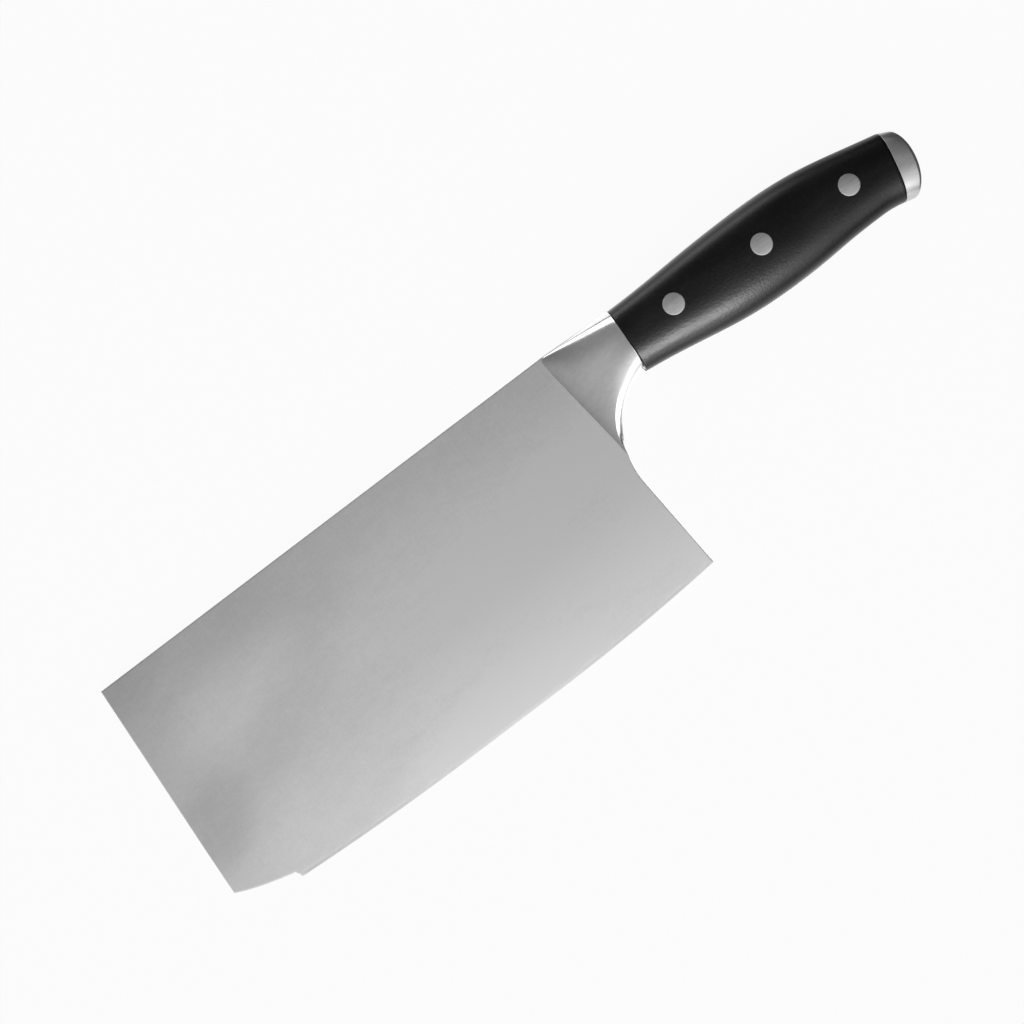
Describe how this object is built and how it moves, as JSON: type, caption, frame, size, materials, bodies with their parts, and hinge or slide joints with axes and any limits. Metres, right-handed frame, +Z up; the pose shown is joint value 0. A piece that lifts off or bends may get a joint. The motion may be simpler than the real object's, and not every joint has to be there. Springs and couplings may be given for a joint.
{
  "type": "cleaver",
  "caption": "Chinese-style kitchen cleaver: tall rectangular steel blade with full tang, flared steel bolster, black riveted grip and steel end cap, for slicing and chopping.",
  "frame": {"origin": "under the middle of the knife, on the surface that it lies on", "axes": "+X along the knife towards the butt, +Y towards the spine, +Z up out of the knife's left side"},
  "size_m": [0.3006, 0.0844, 0.0209],
  "materials": {
    "blade_steel": "fine satin stainless steel",
    "polished_steel": "polished stainless steel with faint machining lines",
    "black_grip": "black moulded plastic, semi-matte",
    "rivet_steel": "satin steel, ground flush"
  },
  "bodies": {
    "root": {"blade_with_tang": "blade_steel", "bolster_left": "polished_steel", "bolster_right": "polished_steel", "scale_left": "black_grip", "scale_right": "black_grip", "end_cap": "polished_steel", "front_rivet_pin": "rivet_steel", "front_rivet_sleeve": "rivet_steel", "middle_rivet_pin": "rivet_steel", "middle_rivet_sleeve": "rivet_steel", "rear_rivet_pin": "rivet_steel", "rear_rivet_sleeve": "rivet_steel"}
  },
  "joints": []
}
